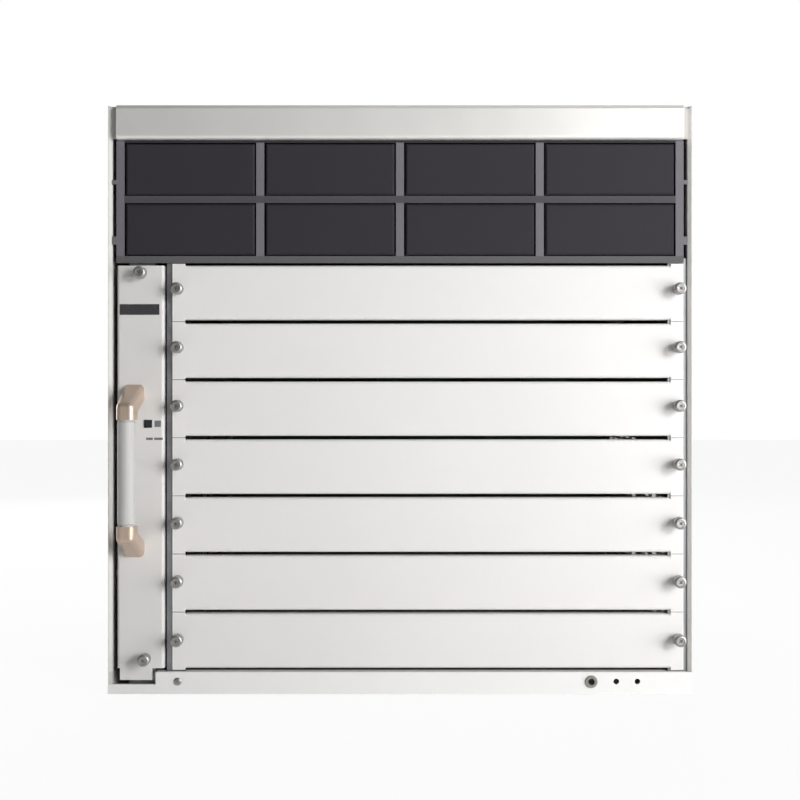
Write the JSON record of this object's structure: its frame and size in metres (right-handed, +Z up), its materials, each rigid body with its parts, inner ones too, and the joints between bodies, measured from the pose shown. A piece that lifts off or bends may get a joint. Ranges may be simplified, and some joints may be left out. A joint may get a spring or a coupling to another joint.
{
  "type": "modular chassis switch",
  "caption": "Rack-size steel chassis for a modular network switch: horizontal card slots closed by blank covers, power bays above them and a handled fan tray at the left.",
  "frame": {"origin": "middle of the bounding box at the underside, on the surface that the chassis stands on", "axes": "+X to the right seen from the front, +Y to the rear (the front faces -Y), +Z up"},
  "size_m": [0.4394, 0.447, 0.4422],
  "materials": {
    "shell_paint": "fine satin powder coat, light grey",
    "cover_paint": "satin powder coat, light grey",
    "cage_paint": "satin dark grey",
    "charcoal_paint": "satin charcoal",
    "zinc_plate": "zinc plated",
    "handle_leg_finish": "warm bronze, satin",
    "grip_metal": "satin",
    "screw_metal": "nickel plated",
    "jack_metal": "plated",
    "board_laminate": "green laminate",
    "connector_plastic": "moulded",
    "guide_plastic": "moulded",
    "fan_plastic": "moulded",
    "strip_film": "dark film",
    "lens_plastic": "smoked lens"
  },
  "bodies": {
    "chassis": {"base_pan": "zinc_plate", "left_side_panel": "shell_paint", "right_side_panel": "shell_paint", "top_cover": "shell_paint", "rear_panel": "zinc_plate", "top_bezel": "shell_paint", "bottom_fascia": "shell_paint", "wrist_strap_jack": "jack_metal", "chassis_screws": "screw_metal", "power_cage_floor": "cage_paint", "power_cage_roof": "cage_paint", "power_cage_shelf": "cage_paint", "power_cage_dividers": "cage_paint", "left_cage_wall": "zinc_plate", "right_cage_wall": "zinc_plate", "mounting_rails": "zinc_plate", "card_guides": "guide_plastic", "backplane": "board_laminate", "power_board": "board_laminate", "board_connectors": "connector_plastic", "fan_tray_rails": "zinc_plate", "fan_socket": "connector_plastic"},
    "fan_tray": {"fan_tray_face": "cover_paint", "fan_tray_frame": "zinc_plate", "fan_housings": "fan_plastic", "fan_plug": "connector_plastic", "handle_feet": "handle_leg_finish", "handle_grip": "grip_metal", "fan_tray_screws": "screw_metal", "dark_strip": "strip_film", "status_lens": "lens_plastic"},
    "slot_cover_1": {"slot_cover_1": "cover_paint", "slot_cover_screws_1": "screw_metal"},
    "slot_cover_2": {"slot_cover_2": "cover_paint", "slot_cover_screws_2": "screw_metal"},
    "slot_cover_3": {"slot_cover_3": "cover_paint", "slot_cover_screws_3": "screw_metal"},
    "slot_cover_4": {"slot_cover_4": "cover_paint", "slot_cover_screws_4": "screw_metal"},
    "slot_cover_5": {"slot_cover_5": "cover_paint", "slot_cover_screws_5": "screw_metal"},
    "slot_cover_6": {"slot_cover_6": "cover_paint", "slot_cover_screws_6": "screw_metal"},
    "slot_cover_7": {"slot_cover_7": "cover_paint", "slot_cover_screws_7": "screw_metal"},
    "power_blank_1": {"power_blank_1": "charcoal_paint"},
    "power_blank_2": {"power_blank_2": "charcoal_paint"},
    "power_blank_3": {"power_blank_3": "charcoal_paint"},
    "power_blank_4": {"power_blank_4": "charcoal_paint"},
    "power_blank_5": {"power_blank_5": "charcoal_paint"},
    "power_blank_6": {"power_blank_6": "charcoal_paint"},
    "power_blank_7": {"power_blank_7": "charcoal_paint"},
    "power_blank_8": {"power_blank_8": "charcoal_paint"},
    "fan_rotor_1": {"fan_rotor_1": "fan_plastic"},
    "fan_rotor_2": {"fan_rotor_2": "fan_plastic"},
    "fan_rotor_3": {"fan_rotor_3": "fan_plastic"},
    "fan_rotor_4": {"fan_rotor_4": "fan_plastic"},
    "fan_rotor_5": {"fan_rotor_5": "fan_plastic"},
    "fan_rotor_6": {"fan_rotor_6": "fan_plastic"}
  },
  "joints": [
    {"name": "fan_tray_slide", "type": "slide", "parent": "chassis", "child": "fan_tray", "axis": [0, -1, 0], "range_m": [0, 0.4]},
    {"name": "slot_cover_slide_1", "type": "slide", "parent": "chassis", "child": "slot_cover_1", "axis": [0, -1, 0], "range_m": [0, 0.08]},
    {"name": "slot_cover_slide_2", "type": "slide", "parent": "chassis", "child": "slot_cover_2", "axis": [0, -1, 0], "range_m": [0, 0.08]},
    {"name": "slot_cover_slide_3", "type": "slide", "parent": "chassis", "child": "slot_cover_3", "axis": [0, -1, 0], "range_m": [0, 0.08]},
    {"name": "slot_cover_slide_4", "type": "slide", "parent": "chassis", "child": "slot_cover_4", "axis": [0, -1, 0], "range_m": [0, 0.08]},
    {"name": "slot_cover_slide_5", "type": "slide", "parent": "chassis", "child": "slot_cover_5", "axis": [0, -1, 0], "range_m": [0, 0.08]},
    {"name": "slot_cover_slide_6", "type": "slide", "parent": "chassis", "child": "slot_cover_6", "axis": [0, -1, 0], "range_m": [0, 0.08]},
    {"name": "slot_cover_slide_7", "type": "slide", "parent": "chassis", "child": "slot_cover_7", "axis": [0, -1, 0], "range_m": [0, 0.08]},
    {"name": "power_blank_slide_1", "type": "slide", "parent": "chassis", "child": "power_blank_1", "axis": [0, -1, 0], "range_m": [0, 0.08]},
    {"name": "power_blank_slide_2", "type": "slide", "parent": "chassis", "child": "power_blank_2", "axis": [0, -1, 0], "range_m": [0, 0.08]},
    {"name": "power_blank_slide_3", "type": "slide", "parent": "chassis", "child": "power_blank_3", "axis": [0, -1, 0], "range_m": [0, 0.08]},
    {"name": "power_blank_slide_4", "type": "slide", "parent": "chassis", "child": "power_blank_4", "axis": [0, -1, 0], "range_m": [0, 0.08]},
    {"name": "power_blank_slide_5", "type": "slide", "parent": "chassis", "child": "power_blank_5", "axis": [0, -1, 0], "range_m": [0, 0.08]},
    {"name": "power_blank_slide_6", "type": "slide", "parent": "chassis", "child": "power_blank_6", "axis": [0, -1, 0], "range_m": [0, 0.08]},
    {"name": "power_blank_slide_7", "type": "slide", "parent": "chassis", "child": "power_blank_7", "axis": [0, -1, 0], "range_m": [0, 0.08]},
    {"name": "power_blank_slide_8", "type": "slide", "parent": "chassis", "child": "power_blank_8", "axis": [0, -1, 0], "range_m": [0, 0.08]},
    {"name": "fan_spin_1", "type": "hinge", "parent": "fan_tray", "child": "fan_rotor_1", "pos_m": [-0.193, -0.1237, 0.2399], "axis": [1, 0, 0], "continuous": true},
    {"name": "fan_spin_2", "type": "hinge", "parent": "fan_tray", "child": "fan_rotor_2", "pos_m": [-0.193, 0.0035, 0.2399], "axis": [1, 0, 0], "continuous": true},
    {"name": "fan_spin_3", "type": "hinge", "parent": "fan_tray", "child": "fan_rotor_3", "pos_m": [-0.193, 0.1307, 0.2399], "axis": [1, 0, 0], "continuous": true},
    {"name": "fan_spin_4", "type": "hinge", "parent": "fan_tray", "child": "fan_rotor_4", "pos_m": [-0.193, -0.1237, 0.1031], "axis": [1, 0, 0], "continuous": true},
    {"name": "fan_spin_5", "type": "hinge", "parent": "fan_tray", "child": "fan_rotor_5", "pos_m": [-0.193, 0.0035, 0.1031], "axis": [1, 0, 0], "continuous": true},
    {"name": "fan_spin_6", "type": "hinge", "parent": "fan_tray", "child": "fan_rotor_6", "pos_m": [-0.193, 0.1307, 0.1031], "axis": [1, 0, 0], "continuous": true}
  ]
}
